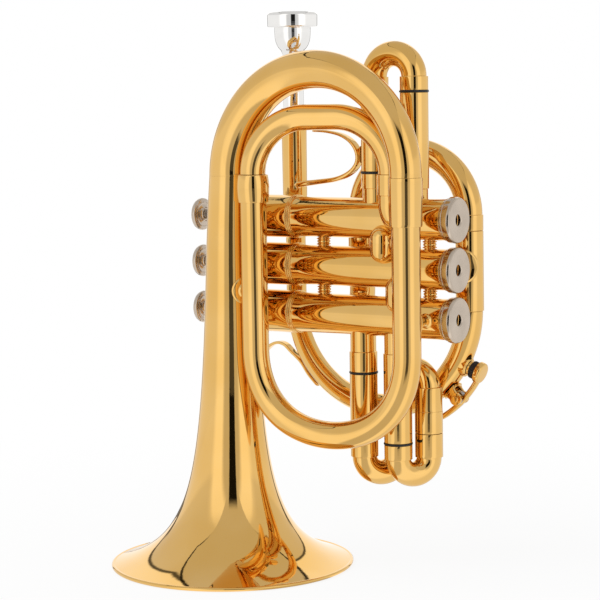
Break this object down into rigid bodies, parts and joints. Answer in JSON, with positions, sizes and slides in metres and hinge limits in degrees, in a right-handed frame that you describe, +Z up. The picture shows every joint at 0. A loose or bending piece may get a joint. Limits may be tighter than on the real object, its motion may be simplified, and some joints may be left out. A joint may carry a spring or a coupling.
{
  "type": "pocket trumpet",
  "caption": "Compact trumpet: tubing coiled round piston valves that lie level, a flared bell on which it stands, sliding tuning bends and a mouthpiece pointing up.",
  "frame": {"origin": "centre of the bell's mouth, on the plane of its rim, on which the trumpet stands", "axes": "+Z up along the bell's axis, away from its mouth; +X along the valves, from the finger buttons to the bottom caps; +Y towards the leadpipe and the main tuning slide"},
  "size_m": [0.1808, 0.1325, 0.2805],
  "materials": {
    "lacquered_brass": "polished",
    "nickel": "satin",
    "silver_plate": "polished",
    "valve_steel": "ground",
    "cork": "matt"
  },
  "bodies": {
    "horn": {"bell": "lacquered_brass", "bell_bow": "lacquered_brass", "bell_bow_ferrule": "lacquered_brass", "tail_lower": "lacquered_brass", "tail_ferrule": "lacquered_brass", "tail_upper": "lacquered_brass", "outlet_elbow": "lacquered_brass", "valve_casing_1": "lacquered_brass", "top_cap_1": "nickel", "bottom_cap_1": "nickel", "valve_spring_1": "valve_steel", "valve_casing_2": "lacquered_brass", "top_cap_2": "nickel", "bottom_cap_2": "nickel", "valve_spring_2": "valve_steel", "valve_casing_3": "lacquered_brass", "top_cap_3": "nickel", "bottom_cap_3": "nickel", "valve_spring_3": "valve_steel", "crossover_1_2": "lacquered_brass", "casing_post_1_top": "lacquered_brass", "casing_post_1_bottom": "lacquered_brass", "crossover_2_3": "lacquered_brass", "casing_post_2_top": "lacquered_brass", "casing_post_2_bottom": "lacquered_brass", "mouthpiece_receiver": "lacquered_brass", "leadpipe": "lacquered_brass", "front_bow": "lacquered_brass", "loop_leg": "lacquered_brass", "inlet_leg": "lacquered_brass", "first_slide_leg_left": "lacquered_brass", "first_slide_leg_right": "lacquered_brass", "second_slide_leg_left": "lacquered_brass", "second_slide_leg_right": "lacquered_brass", "third_slide_leg_a": "lacquered_brass", "third_slide_leg_b": "lacquered_brass", "third_slide_link": "lacquered_brass", "pinky_hook": "lacquered_brass", "water_key_saddle": "lacquered_brass", "bell_brace": "lacquered_brass", "loop_brace": "lacquered_brass", "tail_brace": "lacquered_brass"},
    "valve_1": {"piston_1": "valve_steel", "valve_stem_1": "valve_steel", "finger_button_1": "nickel"},
    "valve_2": {"piston_2": "valve_steel", "valve_stem_2": "valve_steel", "finger_button_2": "nickel"},
    "valve_3": {"piston_3": "valve_steel", "valve_stem_3": "valve_steel", "finger_button_3": "nickel"},
    "mouthpiece": {"mouthpiece": "silver_plate"},
    "tuning_slide": {"main_tuning_slide": "lacquered_brass"},
    "slide_1": {"first_slide": "lacquered_brass", "thumb_hook": "lacquered_brass"},
    "slide_2": {"second_slide": "lacquered_brass"},
    "slide_3a": {"third_slide_a": "lacquered_brass"},
    "slide_3b": {"third_slide_b": "lacquered_brass"},
    "water_key": {"water_key_lever": "lacquered_brass", "water_key_cork": "cork"}
  },
  "joints": [
    {"name": "valve_1_press", "type": "slide", "parent": "horn", "child": "valve_1", "axis": [1, 0, 0], "range_m": [0, 0.0155], "stiffness_N_per_m": 150, "springref_m": -0.015, "deforming": ["valve_spring_1"]},
    {"name": "valve_2_press", "type": "slide", "parent": "horn", "child": "valve_2", "axis": [1, 0, 0], "range_m": [0, 0.0155], "stiffness_N_per_m": 150, "springref_m": -0.015, "deforming": ["valve_spring_2"]},
    {"name": "valve_3_press", "type": "slide", "parent": "horn", "child": "valve_3", "axis": [1, 0, 0], "range_m": [0, 0.0155], "stiffness_N_per_m": 150, "springref_m": -0.015, "deforming": ["valve_spring_3"]},
    {"name": "mouthpiece_pull", "type": "slide", "parent": "horn", "child": "mouthpiece", "axis": [0, 0, 1], "range_m": [0, 0.03]},
    {"name": "tuning_slide_pull", "type": "slide", "parent": "horn", "child": "tuning_slide", "axis": [0, 0, 1], "range_m": [0, 0.028]},
    {"name": "first_slide_pull", "type": "slide", "parent": "horn", "child": "slide_1", "axis": [0, 0, 1], "range_m": [0, 0.025]},
    {"name": "second_slide_pull", "type": "slide", "parent": "horn", "child": "slide_2", "axis": [0, 1, 0], "range_m": [0, 0.01]},
    {"name": "third_slide_a_pull", "type": "slide", "parent": "horn", "child": "slide_3a", "axis": [0, 0, -1], "range_m": [0, 0.015]},
    {"name": "third_slide_b_pull", "type": "slide", "parent": "horn", "child": "slide_3b", "axis": [0, 0, -1], "range_m": [0, 0.015]},
    {"name": "water_key_press", "type": "hinge", "parent": "horn", "child": "water_key", "pos_m": [0.10364, 0.053, 0.08508], "axis": [0, 1, 0], "range_deg": [0, 12], "stiffness_Nm_per_rad": 0.03, "springref_deg": -28.65}
  ]
}
